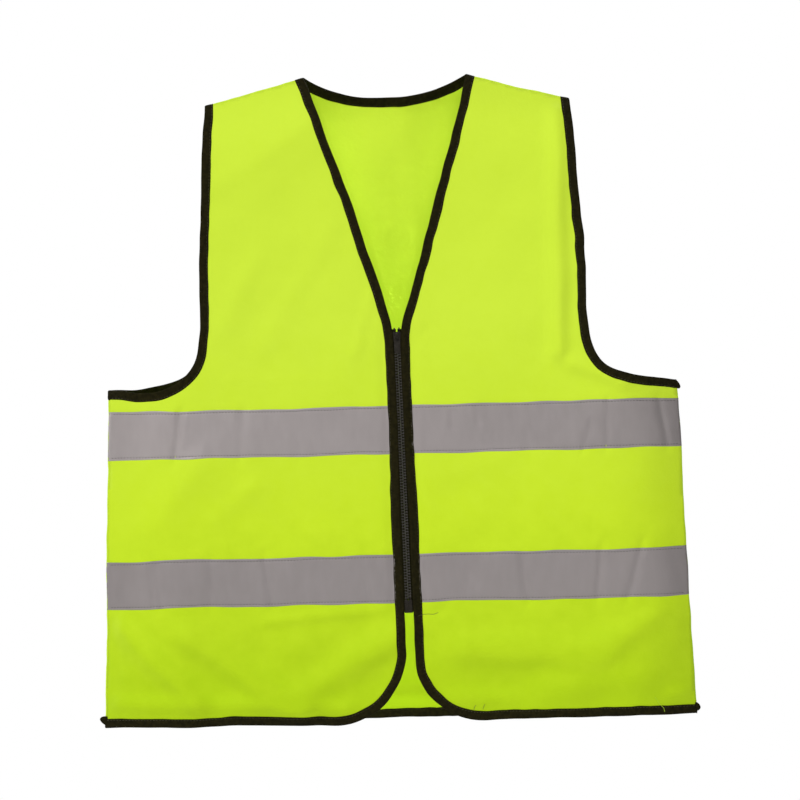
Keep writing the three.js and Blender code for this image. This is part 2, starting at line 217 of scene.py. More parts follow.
# Creases across the bands, each from its foot to its top
FRONT_CREASES = [
    ((-226, 394), (-219, 342), 3.6, -2.4), ((-160, 394), (-155, 344), 5, -1.5),
    ((195, 394), (204, 366), 3.4, -1.7), ((219, 394), (221, 342), 2.8, -1.8),
    ((281, 394), (273, 342), 3.6, -2.0), ((60, 365), (60, 352), 3, -1.6),
    ((87, 361), (87, 348), 3.5, -1.6), ((33, 372), (20, 346), 3, -1.6),
    ((-249, 548), (-255, 492), 3.6, -1.8), ((-192, 548), (-192, 498), 6, -1.3),
    ((-129, 548), (-136, 494), 4.5, -2.0), ((134, 548), (128, 505), 4.4, -2.4),
    ((205, 548), (210, 492), 3.2, -2.2), ((236, 548), (253, 490), 4.2, -2.0),
    ((-30, 548), (-34, 530), 4, -1.1), ((70, 548), (73, 520), 5, -1.1),
    ((-96, 394), (-99, 370), 4, -0.9), ((140, 394), (137, 372), 4, -0.9),
]
BACK_CREASES = [
    ((-201, 394), (-196, 342), 4, -1.9), ((-64, 394), (-69, 350), 4, -1.7),
    ((97, 394), (94, 342), 3.4, -1.8), ((236, 394), (243, 342), 4, -2.1),
    ((-226, 548), (-219, 494), 4, -2.1), ((-12, 548), (-15, 500), 5, -1.4),
    ((142, 548), (149, 492), 3.6, -2.0), ((218, 548), (213, 498), 4, -1.8),
]


def fold_height(x, drop, fold):
    (x0, d0), (x1, d1), width, height = fold
    length = math.hypot(x1 - x0, d1 - d0)
    ux, ud = (x1 - x0) / length, (d1 - d0) / length
    along = (x - x0) * ux + (drop - d0) * ud
    past = np.maximum(np.maximum(-along, along - length), 0) / width
    off = ((x - x0) * ud - (drop - d0) * ux) / width
    return height * np.exp(-off * off - 0.5 * past * past)


def relief(face, x, drop):
    """How far the cloth stands out of its plain hanging shape."""
    folds, seed = (FRONT_FOLDS + FRONT_CREASES, 11) if face == FRONT else (BACK_FOLDS + BACK_CREASES, 29)
    loose = smooth((drop - 540) / 60)
    total = (1.2 + 0.8 * loose) * waves(x, drop, seed, 180)
    total = total + (0.5 + 0.6 * loose) * waves(x, drop, seed + 1, 64)
    total = total + 0.07 * waves(x, drop, seed + 2, 24)
    for fold in folds:
        total = total + fold_height(x, drop, fold)
    total = np.where(total > SOFT_LIMIT, SOFT_LIMIT * (1 + np.tanh(total / SOFT_LIMIT - 1)), total)
    if face == BACK:
        return total
    beside = (np.abs(x - centre_x(drop)) - 14) / 5
    groove = -2.0 * np.exp(-beside * beside) * hump(drop, 255, 30, 30, 575)
    return total * zip_freedom(x, drop) + groove


def hanging(face, x, drop):
    share = seam_share(x, drop)
    return STANDOFF * share + relief(face, x, drop) * smooth(3 * share)


def wander(x, drop):
    """The small wander of cut and sewn edges and the hem's sag, the same on the front and the back."""
    free = zip_freedom(x, drop)
    sideways = 0.8 * waves(x, drop, 5, 130) + 0.25 * waves(x, drop, 6, 34)
    down = 0.8 * waves(x, drop, 7, 150) + 0.25 * waves(x, drop, 8, 38)
    sag = HEM_SAG * hump(x, -185, 70, 60, 110) * smooth((drop - 600) / 50)
    return x + sideways * free, drop + down * free + sag


def lift(face, x, drop, out=0.0):
    """Points in metres on the hanging cloth, out millimetres proud of its middle."""
    x, drop = np.asarray(x, float), np.asarray(drop, float)
    height = hanging(face, x, drop)
    slope_x = hanging(face, x + 1, drop) - height
    slope_d = hanging(face, x, drop + 1) - height
    upright = smooth(height / 5)
    normal = np.stack([-slope_x, face * (upright + 1e-6), slope_d], axis=-1)
    flat_x, flat_d = wander(x, drop)
    points = np.stack([flat_x, face * np.maximum(height, 0), -flat_d], axis=-1)
    return (points + unit(normal) * np.broadcast_to(out, x.shape)[..., None]) * MM


# ---- edges, as flat paths along the outside of their binding
def edge_x(side, drop):
    slant = V_NECK["slope"] * (V_NECK["foot"] - drop)
    half = ZIP_HALF_GAP + (slant + np.hypot(slant, V_NECK["round"])) / 2
    half = half - ZIP_PINCH * hump(drop, 225, 40, 110, 470)
    if side < 0:
        half = half - RIGHT_V_PINCH * hump(drop, 0, 120, 60, 262)
    return centre_x(drop) + side * half


def lengths_along(points):
    return np.r_[0, np.cumsum(np.linalg.norm(np.diff(points, axis=0), axis=1))]


def resample(points, step):
    points = np.asarray(points, float)
    lengths = lengths_along(points)
    count = max(2, round(lengths[-1] / step) + 1)
    at = np.linspace(0, lengths[-1], count)
    return np.stack([np.interp(at, lengths, points[:, k]) for k in (0, 1)], axis=1)


def spline(points, steps=12):
    """A Catmull-Rom curve through the points."""
    points = np.asarray(points, float)
    padded = np.vstack([2 * points[0] - points[1], points, 2 * points[-1] - points[-2]])
    t = np.linspace(0, 1, steps, endpoint=False)[:, None]
    runs = []
    for a, b, c, d in zip(padded, padded[1:], padded[2:], padded[3:]):
        square = (2 * a - 5 * b + 4 * c - d) * t**2
        cube = (3 * b - a - 3 * c + d) * t**3
        runs.append(0.5 * (2 * b + (c - a) * t + square + cube))
    return np.vstack([*runs, points[-1:]])


def trim(points):
    """Only the stretch between the shoulder line and the side seams, ending exactly on them."""
    x, drop = points[:, 0], points[:, 1]
    inside = np.minimum(drop - shoulder_drop(x), side_seam_x(drop) - np.abs(x))
    kept = []
    for i, here in enumerate(points):
        if i and (inside[i] > 0) != (inside[i - 1] > 0):
            share = inside[i - 1] / (inside[i - 1] - inside[i])
            kept.append(points[i - 1] + share * (here - points[i - 1]))
        if inside[i] > 0:
            kept.append(here)
    return np.array(kept)


def front_edge(side):
    corner_top = FRONT_CORNER["top"] + side * FRONT_CORNER["lower"]
    drops = np.linspace(-15, corner_top, 200)
    straight = np.stack([edge_x(side, drops), drops], axis=1)
    turn = np.linspace(0, math.pi / 2, 40)[1:]
    corner = np.stack([
        straight[-1][0] + side * FRONT_CORNER["width"] * (1 - np.cos(turn)),
        corner_top + (FRONT_HEM - corner_top) * np.sin(turn),
    ], axis=1)
    return trim(resample(np.vstack([straight, corner, [[side * 340, FRONT_HEM]]]), EDGE_STEP))


def armhole_edge(side, face):
    """An armhole. The wearer's right one hangs lower in front, so that the back of it shows."""
    path = spline(ARMHOLE) * [side, 1]
    drop, out = path[:, 1].copy(), np.abs(path[:, 0])
    shift = ARMHOLE_SHIFT * hump(out, 180, 5, 60, 300)
    if side > 0:
        path[:, 0] += shift * smooth((drop - 90) / 90)
        path[:, 1] += 1.5 * smooth((out - 275) / 20) - 1.8 * smooth((out - 215) / 40)
    else:
        path[:, 0] += shift
        path[:, 1] += ARMHOLE_SAG[face] * np.exp(-(((out - 246) / 26) ** 2))
        path[:, 1] -= 3.0 * smooth((out - 262) / 24)
    return trim(resample(path, EDGE_STEP))


def back_neck_edge():
    x = np.linspace(-1.05, 1.05, 160) * BACK_NECK["half"]
    drop = BACK_NECK["drop"] * (1 - (np.abs(x) / BACK_NECK["half"]) ** BACK_NECK["power"])
    return trim(resample(np.stack([x, drop], axis=1), EDGE_STEP))


def back_hem_edge():
    return trim(resample([(-340, BACK_HEM), (340, BACK_HEM)], EDGE_STEP))


def seam_direction(point):
    """The direction of the seam that an edge ends on, or None where it ends on no seam."""
    x, drop = point
    if abs(drop - shoulder_drop(x)) < 0.5:
        return np.array([1, SHOULDER["slope"] * x / math.hypot(x, SHOULDER["round"])])
    if abs(abs(x) - side_seam_x(drop)) < 0.5:
        return np.array([math.copysign(SIDE_SEAM["slope"], x), 1])
    return None


def inward(points, hand):
    """The flat direction from an edge into the cloth. At a seam it runs along that seam."""
    ahead = np.gradient(points, axis=0)
    ahead = unit(ahead)
    into = hand * np.stack([ahead[:, 1], -ahead[:, 0]], axis=1)
    order = np.arange(len(points))
    for end, away in ((0, order), (-1, order[::-1])):
        seam = seam_direction(points[end])
        if seam is not None:
            seam = seam / np.linalg.norm(seam) * np.sign(seam @ into[end])
            share = np.clip(1 - away * EDGE_STEP / 15, 0, 1)[:, None]
            into = into * (1 - share) + seam * share
    return unit(into)


def inset(points, hand, distance):
    return points + inward(points, hand) * distance


# ---- meshes
def make_object(name, points, faces, material, cloth=None):
    mesh = bpy.data.meshes.new(name)
    points = np.asarray(points, float)
    mesh.from_pydata(points.tolist(), [], [tuple(int(i) for i in f) for f in faces])
    mesh.polygons.foreach_set("use_smooth", [True] * len(mesh.polygons))
    mesh.materials.append(material)
    if cloth is not None:
        attribute = mesh.attributes.new("cloth", "FLOAT_VECTOR", "POINT")
        attribute.data.foreach_set("vector", np.asarray(cloth, np.float32).ravel())
    mesh.update()
    made = bpy.data.objects.new(name, mesh)
    bpy.context.scene.collection.objects.link(made)
    return made


def settle(made):
    """Applies the modifiers, so that the mesh itself is final."""
    bpy.context.view_layer.update()
    shaped = made.evaluated_get(bpy.context.evaluated_depsgraph_get())
    mesh = bpy.data.meshes.new_from_object(shaped)
    made.modifiers.clear()
    made.data = mesh
    return made


def face_sheet(made, face):
    """Turns an open sheet's faces to the outside of the vest."""
    mesh = made.data
    total = sum(p.normal.y * p.area for p in mesh.polygons)
    if total * face < 0:
        mesh.flip_normals()


def face_outwards(made):
    """Turns a closed mesh's faces out if they look in."""
    mesh = made.data
    mesh.calc_loop_triangles()
    volume = 0.0
    for triangle in mesh.loop_triangles:
        a, b, c = (mesh.vertices[i].co for i in triangle.vertices)
        volume += a.dot(b.cross(c))
    if volume < 0:
        mesh.flip_normals()


def thicken(made, thick, offset):
    solidify = made.modifiers.new("thickness", "SOLIDIFY")
    solidify.thickness = thick * MM
    solidify.offset = offset
    return settle(made)


def flat_coordinates(x, drop):
    x, drop = np.asarray(x, float), np.asarray(drop, float)
    return np.stack([x, drop, np.zeros_like(x)], axis=-1).reshape(-1, 3)


def inside_outline(points, outline):
    x, y = points[:, 0], points[:, 1]
    inside = np.zeros(len(points), bool)
    for (x0, y0), (x1, y1) in zip(outline, np.roll(outline, -1, axis=0)):
        if y0 != y1:
            crosses = (y0 > y) != (y1 > y)
            inside ^= crosses & (x < (x1 - x0) * (y - y0) / (y1 - y0) + x0)
    return inside


def panel(name, face, outline, material):
    """A sheet of cloth cut to a closed flat outline."""
    low, high = outline.min(axis=0), outline.max(axis=0)
    across, down = np.arange(low[0], high[0], CLOTH_STEP), np.arange(low[1], high[1], CLOTH_STEP)
    grid = np.stack(np.meshgrid(across, down), axis=-1).reshape(-1, 2)
    grid = grid[inside_outline(grid, outline)]
    near = np.full(len(grid), np.inf)
    for point in outline:
        near = np.minimum(near, np.linalg.norm(grid - point, axis=1))
    grid = grid[near > 0.6 * CLOTH_STEP]
    count = len(outline)
    flat = [Vector(p) for p in np.vstack([outline, grid])]
    edges = [(i, (i + 1) % count) for i in range(count)]
    points, _, faces, *_ = delaunay_2d_cdt(flat, edges, [], 1, 1e-5)
    x = np.array([p.x for p in points])
    drop = np.array([p.y for p in points])
    made = make_object(name, lift(face, x, drop), faces, material, flat_coordinates(x, drop))
    face_sheet(made, face)
    return thicken(made, CLOTH_THICK, 0)


def area_of(outline):
    x, drop = outline[:, 0] * MM, outline[:, 1] * MM
    return float(abs(np.sum(x * np.roll(drop, -1) - drop * np.roll(x, -1))) / 2)


def grid_faces(rows, columns, closed=False):
    """Quads between the rows of a grid of points, with each row closed on itself or not."""
    wrap = columns if closed else columns - 1
    return [
        (r * columns + c, r * columns + (c + 1) % columns,
         (r + 1) * columns + (c + 1) % columns, (r + 1) * columns + c)
        for r in range(rows - 1) for c in range(wrap)
    ]


def capped_faces(rows, columns):
    caps = [tuple(range(columns))[::-1], tuple(range((rows - 1) * columns, rows * columns))]
    return grid_faces(rows, columns, closed=True) + caps


def ring_around(one, other, count):
    """The points of a circle across a line, from two directions at each of the line's points."""
    turns = (np.arange(count) * math.tau / count)[None, :, None]
    return np.cos(turns) * one[:, None] + np.sin(turns) * other[:, None]


def ring_mesh(name, rings, material, cloth=None):
    """A closed mesh through rings of points in metres, with flat ends."""
    made = make_object(name, rings.reshape(-1, 3), capped_faces(*rings.shape[:2]), material, cloth)
    face_outwards(made)
    return made


def ring_coordinates(along, across):
    """The flat coordinates of a grid of points, from the place along it and the place across it."""
    down, over = np.meshgrid(along, across, indexing="ij")
    return np.stack([down, over, np.zeros_like(down)], axis=-1)


# The folded binding's section: distance in from the edge, height above the middle of the cloth
BINDING_HALF_SECTION = [
    (9.2, 0.3), (9.2, 0.85), (8.8, 1.12), (8.2, 1.06), (7.75, 0.86), (7.3, 1.02), (6.2, 1.16),
    (4.2, 1.24), (2.2, 1.28), (0.9, 1.2), (0.2, 0.86), (-0.15, 0.4),
]
BINDING_SECTION = BINDING_HALF_SECTION + [(q, -h) for q, h in BINDING_HALF_SECTION[::-1]]


def binding(name, runs, material, seed):
    """Binding folded over an edge. Each run is (face, edge path, hand), joined end to end."""
    rings, cloth, travelled = [], [], 0.0
    across = np.array([q for q, _ in BINDING_SECTION])
    for face, points, hand in runs:
        into = inward(points, hand)
        lengths = lengths_along(points) + travelled
        travelled = lengths[-1]
        none = np.zeros_like(lengths)
        sway = 0.22 * waves(lengths, none, seed, 21) + 0.2 * waves(lengths, none, seed + 1, 60)
        pucker = 1 + 0.06 * waves(lengths, none, seed + 2, 6.5)
        ring = []
        for q, height in BINDING_SECTION:
            share = min(max(q / BINDING_WIDTH, 0), 1)
            at = points + into * (q + sway * (0.35 + 0.65 * share))[:, None]
            ring.append(lift(face, at[:, 0], at[:, 1], height * pucker))
        first = 1 if rings else 0
        rings.append(np.stack(ring, axis=1)[first:])
        cloth.append(ring_coordinates(lengths[first:], across))
    return ring_mesh(name, np.concatenate(rings), material, np.concatenate(cloth))


def band(name, face, start, end, drops, material):
    """Reflective tape sewn on the cloth. start and end give its ends' x at a drop."""
    top, foot = drops
    near = np.linspace(0, 6, 9)
    rows = np.r_[top + near, np.linspace(top + 6, foot - 6, 14)[1:-1], foot - near[::-1]]
    columns = round(abs(end(top) - start(top)) / 2.5)
    share = np.linspace(0, 1, columns + 1)
    drop = np.repeat(rows[:, None], len(share), axis=1)
    x = start(drop) + (end(drop) - start(drop)) * share[None, :]
    inside = np.minimum(drop - top, foot - drop)
    sewn = np.exp(-(((inside - BAND_STITCH["inset"]) / 1.1) ** 2))
    pucker = np.exp(-((inside / 7) ** 2)) * waves(x, 0 * drop, round(top), 13)
    out = CLOTH_THICK / 2 + 0.2 - 0.18 * sewn + 0.07 * (1 + pucker) * (1 - sewn)
    edge = 0.3 * waves(x, 0 * drop + top, 41, 60) * np.exp(-((inside / 4) ** 2))
    points = lift(face, x, drop + edge, out).reshape(-1, 3)
    faces = grid_faces(len(rows), len(share))
    made = make_object(name, points, faces, material, flat_coordinates(x, drop))
    face_sheet(made, face)
    return thicken(made, TAPE_THICK, 1)


def stitches(name, runs, material, length=2.5, gap=0.7, radius=0.26):
    """Sewn stitches. Each run is (face, flat path, height above the middle of the cloth)."""
    arch = np.array([-1.0, 0.35, 0.75, 0.35, -1.0]) * radius
    size = np.array([0.45, 0.95, 1.0, 0.95, 0.45]) * radius * MM
    turns = np.arange(5) * math.tau / 5
    points, faces = [], []
    one = capped_faces(len(arch), len(turns))
    for face, path, height in runs:
        lengths = lengths_along(path)
        count = int(lengths[-1] // (length + gap))
        begin = (np.arange(count)[:, None] + 0.5) * (length + gap) - length / 2
        at = begin + np.linspace(0, length, len(arch))[None, :]
        x = np.interp(at, lengths, path[:, 0])
        drop = np.interp(at, lengths, path[:, 1])
        middle = lift(face, x, drop, height + arch)
        up = unit(lift(face, x, drop, height + arch + 1) - middle)
        ahead = (middle[:, -1:] - middle[:, :1]) + np.zeros_like(middle)
        beside = unit(np.cross(up, ahead))
        around = np.cos(turns)[:, None] * beside[:, :, None] + np.sin(turns)[:, None] * up[:, :, None]
        rings = middle[:, :, None] + size[None, :, None, None] * around
        base = sum(len(p) for p in points)
        points.append(rings.reshape(-1, 3))
        per = len(arch) * len(turns)
        faces += [tuple(base + k * per + i for i in f) for k in range(count) for f in one]
    made = make_object(name, np.concatenate(points), faces, material)
    face_outwards(made)
    return made


# ---- the zip, in its own frame
ZIP_DOWN = np.array([math.sin(math.atan(ZIP["lean"])), 0, -math.cos(math.atan(ZIP["lean"]))])
ZIP_ACROSS = np.array([-ZIP_DOWN[2], 0, ZIP_DOWN[0]])


def zip_points(local):
    u, v, w = np.asarray(local, float).reshape(-1, 3).T
    origin = np.array([ZIP["x"], ZIP_Y, -ZIP["top"]])
    return (origin + u[:, None] * ZIP_ACROSS + v[:, None] * [0, 1, 0] + w[:, None] * ZIP_DOWN) * MM


class ZipPart:
    """Gathers closed shapes in the zip's frame into one object."""

    def __init__(self):
        self.points, self.faces = [], []

    def loft(self, rings):
        """A closed solid through rings of points, all with the same count."""
        rings = np.asarray(rings, float)
        base = sum(len(p) for p in self.points)
        faces = capped_faces(*rings.shape[:2])
        flat = rings.reshape(-1, 3)
        centre = flat.mean(axis=0)
        volume = 0.0
        for face in faces:
            corner = flat[list(face)] - centre
            for b, c in zip(corner[1:], corner[2:]):
                volume += np.dot(corner[0], np.cross(b, c))
        if volume < 0:
            faces = [f[::-1] for f in faces]
        self.points.append(flat)
        self.faces += [tuple(base + i for i in f) for f in faces]
        return self

    def make(self, name, material, order=(0, 1, 2)):
        """The object. Its flat coordinates are u, v and w in the given order."""
        points = np.concatenate(self.points)
        return make_object(name, zip_points(points), self.faces, material, points[:, order])


def rounded_ring(half_u, half_v, radius, corner_steps=4):
    """A rounded rectangle about the origin, as (u, v) points."""
    ring = []
    for k, (su, sv) in enumerate(((1, 1), (-1, 1), (-1, -1), (1, -1))):
        for step in range(corner_steps + 1):
            turn = math.pi / 2 * (k + step / corner_steps)
            ring.append((
                su * (half_u - radius) + radius * math.cos(turn),
                sv * (half_v - radius) + radius * math.sin(turn),
            ))
    return np.array(ring)


def bar(part, start, end, half_u, half_v, radius, u=0.0, v=0.0, ease=0.4):
    """A rounded bar along w, softened at both ends."""
    stations = ((start, 1), (start + 0.3 * ease, 0.35), (start + ease, 0),
                (end - ease, 0), (end - 0.3 * ease, 0.35), (end, 1))
    rings = []
    for w, shrink in stations:
        less = shrink * ease
        ring = rounded_ring(half_u - less, half_v - less, max(radius - less, 0.05))
        rings.append([(u + a, v + b, w) for a, b in ring])
    return part.loft(rings)


def flat_shape(part, outline, v_low, v_high, soft=0.25):
    """A plate of constant outline in (u, w), softened at its rims."""
    outline = np.asarray(outline, float)
    ahead = np.roll(outline, -1, axis=0) - np.roll(outline, 1, axis=0)
    normal = unit(np.stack([ahead[:, 1], -ahead[:, 0]], axis=1))
    middle = outline.mean(axis=0)
    if np.sum((outline - middle) * normal) < 0:
        normal = -normal
    rings = []
    for v, less in ((v_low, soft), (v_low + 0.3 * soft, 0.3 * soft), (v_low + soft, 0),
                    (v_high - soft, 0), (v_high - 0.3 * soft, 0.3 * soft), (v_high, soft)):
        ring = outline - normal * less
        rings.append([(a, v, b) for a, b in ring])
    return part.loft(rings)


def both_sides_of(outline):
    """An outline closed by its own reflection across its middle line."""
    return outline + [(u, -d) for u, d in outline[::-1]]


def mirrored(outline):
    """The outline's right half, given from top to bottom, with its left half added."""
    return list(outline) + [(-u, w) for u, w in outline[::-1] if u > 1e-6]


# ---- materials
class Shader:
    """A Principled material, with short ways to add the nodes that vary it."""

    def __init__(self, name, colour, roughness, **sockets):
        self.material = bpy.data.materials.new(name)
        self.material.use_nodes = True
        self.nodes = self.material.node_tree.nodes
        self.links = self.material.node_tree.links
        self.surface = self.nodes["Principled BSDF"]
        self.surface.inputs["Base Color"].default_value = (*colour, 1)
        self.surface.inputs["Roughness"].default_value = roughness
        for socket, value in sockets.items():
            self.surface.inputs[socket.replace("_", " ")].default_value = value
        self.material.diffuse_color = (*colour, 1)

    def node(self, kind, **inputs):
        made = self.nodes.new(kind)
        for name, value in inputs.items():
            self.put(made.inputs[name.replace("_", " ")], value)
        return made

    def put(self, socket, value):
        if isinstance(value, bpy.types.NodeSocket):
            self.links.new(value, socket)
        else:
            socket.default_value = value

    def math(self, operation, first, second=0.0):
        made = self.nodes.new("ShaderNodeMath")
        made.operation = operation
        self.put(made.inputs[0], first)
        self.put(made.inputs[1], second)
        return made.outputs[0]

    def cloth(self):
        """The flat coordinates that a sewn piece carries, in millimetres."""
        made = self.nodes.new("ShaderNodeAttribute")
        made.attribute_name = "cloth"
        parts = self.nodes.new("ShaderNodeSeparateXYZ")
        self.links.new(made.outputs["Vector"], parts.inputs[0])
        return made.outputs["Vector"], parts.outputs["X"], parts.outputs["Y"]

    def place(self):
        """The point itself, in metres."""
        return self.nodes.new("ShaderNodeTexCoord").outputs["Object"]

    def mix_sum(self, first, weight, second, other_weight):
        """Two values added, each at its own weight."""
        other = self.math("MULTIPLY", second, other_weight)
        return self.math("ADD", self.math("MULTIPLY", first, weight), other)

    def noise(self, place, period, detail=2.0, stretch=(1, 1, 1)):
        """Noise from 0 to 1 with features of about that many units."""
        mapping = self.node("ShaderNodeMapping", Vector=place)
        mapping.inputs["Scale"].default_value = [s / period for s in stretch]
        made = self.node("ShaderNodeTexNoise", Vector=mapping.outputs[0], Scale=1.0, Detail=detail)
        return made.outputs["Fac"]

    def ripple(self, along, period):
        """A sine from -1 to 1."""
        return self.math("SINE", self.math("MULTIPLY", along, math.tau / period))

    def ramp(self, value, stops):
        made = self.node("ShaderNodeValToRGB", Fac=value)
        band_stops = made.color_ramp.elements
        while len(band_stops) < len(stops):
            band_stops.new(0.5)
        for element, (place, colour) in zip(band_stops, stops):
            element.position = place
            element.color = (*colour, 1)
        return made.outputs["Color"]

    def colour(self, value):
        self.put(self.surface.inputs["Base Color"], value)

    def span(self, value, before, after):
        """A value moved from one range to another, and kept inside it."""
        made = self.node("ShaderNodeMapRange", Value=value, From_Min=before[0], From_Max=before[1],
                         To_Min=after[0], To_Max=after[1])
        return made.outputs["Result"]

    def rough(self, value, low, high):
        self.put(self.surface.inputs["Roughness"], self.span(value, (0.0, 1.0), (low, high)))

    def bump(self, height, depth, below=None):
        """Relief of that many millimetres, laid over another one."""
        made = self.node("ShaderNodeBump", Height=height, Distance=depth * MM, Strength=1.0)
        if below is not None:
            self.links.new(below, made.inputs["Normal"])
        self.put(self.surface.inputs["Normal"], made.outputs["Normal"])
        return made.outputs["Normal"]


def shade(colour, factor):
    return tuple(c * factor for c in colour)


def fluorescent_knit():
    green = (0.449, 0.6, 0.035)
    # The emission is a painted glow. It stands in for the fabric's real fluorescence, and as a fixed
    # light it also brightens the whole cloth.
    made = Shader("fluorescent_knit", green, 0.78, Sheen_Weight=0.04, Sheen_Roughness=0.5,
                  Specular_IOR_Level=0.14, Emission_Strength=0.22)
    made.surface.inputs["Sheen Tint"].default_value = (0.9, 1.0, 0.55, 1)
    made.surface.inputs["Emission Color"].default_value = (0.56, 0.78, 0.015, 1)
    place, x, drop = made.cloth()
    # Painted shade: the cloth is coloured darker and deeper towards the hem, for the light that falls
    # off lower down. It is paler and bluer on the chest, where the blue is a painted sheen. The mottle
    # is the knit's own uneven tone.
    depth = made.span(drop, (250.0, 640.0), (0.0, 1.0))
    mottle = made.math("MULTIPLY", made.math("SUBTRACT", made.noise(place, 16, 4), 0.5), 0.25)
    grain_and_painted_shade = made.math("ADD", depth, mottle)
    made.colour(made.ramp(grain_and_painted_shade, [
        (0.0, green), (0.55, (0.4, 0.55, 0.012)), (1.0, (0.28, 0.43, 0.001)),
    ]))
    made.rough(made.noise(place, 5, 3), 0.7, 0.88)
    wale = made.ripple(x, 0.95)
    zigzag = made.math("MULTIPLY", made.ripple(x, 1.9), 0.22)
    course = made.ripple(made.math("ADD", drop, zigzag), 0.8)
    knit = made.mix_sum(wale, 0.6, course, 0.4)
    fuzz = made.bump(made.noise(place, 3.5, 5), 0.18)
    made.bump(knit, 0.035, fuzz)
    return made.material


def reflective_weave():
    grey = (0.275, 0.246, 0.244)
    made = Shader("reflective_weave", grey, 0.5, Metallic=0.25, Specular_IOR_Level=0.45)
    place, x, drop = made.cloth()
    beads = made.noise(place, 0.35, 2)
    streaks = made.noise(place, 9, 4, (1, 0.35, 1))
    grain = made.mix_sum(beads, 0.35, streaks, 0.3)
    # Painted light: the upper band is coloured lighter towards the left and darker towards the right, as
    # the light falls on it from the left.
    painted_light_from_left = made.span(x, (-300.0, 250.0), (0.45, 0.05))
    upper = made.span(drop, (400.0, 480.0), (1.0, 0.0))
    grain_and_painted_shade = made.math("ADD", grain, made.math("MULTIPLY", painted_light_from_left, upper))
    made.colour(made.ramp(grain_and_painted_shade, [
        (0.15, shade(grey, 0.86)), (0.33, shade(grey, 0.94)), (0.85, shade(grey, 1.3)),
    ]))
    made.rough(streaks, 0.4, 0.6)
    crinkle = made.bump(made.noise(place, 9, 4, (1.2, 0.8, 1)), 0.08)
    warp = made.math("MULTIPLY", made.ripple(x, 0.6), made.ripple(drop, 0.6))
    weave = made.bump(warp, 0.02, crinkle)
    made.bump(beads, 0.03, weave)
    return made.material


def ribbed_fabric(name, colour, light, rib, slant):
    """A close woven dark tape, with ribs that lean."""
    made = Shader(name, colour, 0.85, Sheen_Weight=0.01, Sheen_Roughness=0.4, Specular_IOR_Level=0.05)
    made.surface.inputs["Sheen Tint"].default_value = (1.0, 0.85, 0.4, 1)
    place, along, across = made.cloth()
    lean = made.math("ADD", along, made.math("MULTIPLY", across, slant))
    ribs = made.ripple(lean, rib)
    yarns = made.ripple(across, rib * 0.8)
    mottle = made.noise(place, 4, 4)
    woven = made.math("ADD", made.math("MULTIPLY", ribs, 0.16), mottle)
    made.colour(made.ramp(woven, [(0.3, colour), (0.55, light), (0.85, shade(light, 1.5))]))
    made.rough(mottle, 0.7, 0.95)
    soft = made.bump(mottle, 0.25)
    made.bump(made.math("ADD", ribs, made.math("MULTIPLY", yarns, 0.5)), 0.06, soft)
    return made.material


def moulded_plastic(name, gloss):
    dark = (0.011, 0.009, 0.006)
    made = Shader(name, dark, 0.38, Specular_IOR_Level=gloss)
    place = made.place()
    grain = made.noise(place, 0.0006, 3)
    scuffs = made.noise(place, 0.004, 5)
    made.colour(made.ramp(scuffs, [
        (0.35, dark), (0.6, (0.017, 0.014, 0.01)), (0.8, (0.03, 0.026, 0.02)),
    ]))
    made.rough(scuffs, 0.28, 0.5)
    made.bump(grain, 0.02)
    return made.material


def twisted_thread(name, colour, light):
    made = Shader(name, colour, 0.62, Sheen_Weight=0.15, Specular_IOR_Level=0.35)
    place = made.place()
    twist = made.noise(place, 0.0004, 2, (1, 1, 2.2))
    made.colour(made.ramp(twist, [(0.35, colour), (0.7, light)]))
    made.rough(made.noise(place, 0.002, 2), 0.5, 0.75)
    made.bump(twist, 0.06)
    return made.material


def floor_paper():
    pale = (0.42, 0.42, 0.415)
    made = Shader("floor_paper", pale, 0.85, Specular_IOR_Level=0.2, Emission_Strength=0.6)
    made.surface.inputs["Emission Color"].default_value = (1, 1, 0.99, 1)
    place = made.place()
    made.colour(made.ramp(made.noise(place, 0.7, 4), [(0.3, shade(pale, 0.985)), (0.7, pale)]))
    made.bump(made.noise(place, 0.004, 3), 0.1)
    return made.material


CLOTH = fluorescent_knit()
REFLECTIVE = reflective_weave()
BINDING = ribbed_fabric("dark_binding_weave", (0.0055, 0.005, 0.001), (0.0135, 0.0115, 0.003), 0.9, 0.7)
ZIP_WEAVE = ribbed_fabric("zip_tape_weave", (0.005, 0.0048, 0.001), (0.013, 0.012, 0.003), 0.8, -1.0)
PLASTIC = moulded_plastic("moulded_plastic", 0.16)
TOOTH_PLASTIC = moulded_plastic("tooth_plastic", 0.6)
BAND_THREAD = twisted_thread("band_thread", (0.06, 0.052, 0.05), (0.11, 0.098, 0.092))
DARK_THREAD = twisted_thread("dark_thread", (0.018, 0.016, 0.004), (0.05, 0.046, 0.012))
CLOTH_THREAD = twisted_thread("cloth_thread", (0.34, 0.56, 0.008), (0.5, 0.74, 0.02))


def settle_front(piece):
    """A front piece that starts at the side seam, with its transform baked into its mesh."""
    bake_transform(piece)


def seam_run(start, end, count):
    """A run along the side seam (equal signs of x) or the shoulder line, without its two ends."""
    share = np.linspace(0, 1, count + 1)[1:-1]
    if abs(start[1] - end[1]) > abs(start[0] - end[0]):
        drop = start[1] + (end[1] - start[1]) * share
        return np.stack([math.copysign(1, start[0]) * side_seam_x(drop), drop], axis=1)
    x = start[0] + (end[0] - start[0]) * share
    return np.stack([x, shoulder_drop(x)], axis=1)


def seam_steps(start, end):
    return max(2, round(math.hypot(end[0] - start[0], end[1] - start[1]) / CLOTH_STEP))


def closed_outline(edges):
    """Edges joined end to start by the seams between them."""
    runs = []
    for edge, following in zip(edges, edges[1:] + edges[:1]):
        runs += [edge, seam_run(edge[-1], following[0], seam_steps(edge[-1], following[0]))]
    return np.vstack(runs)


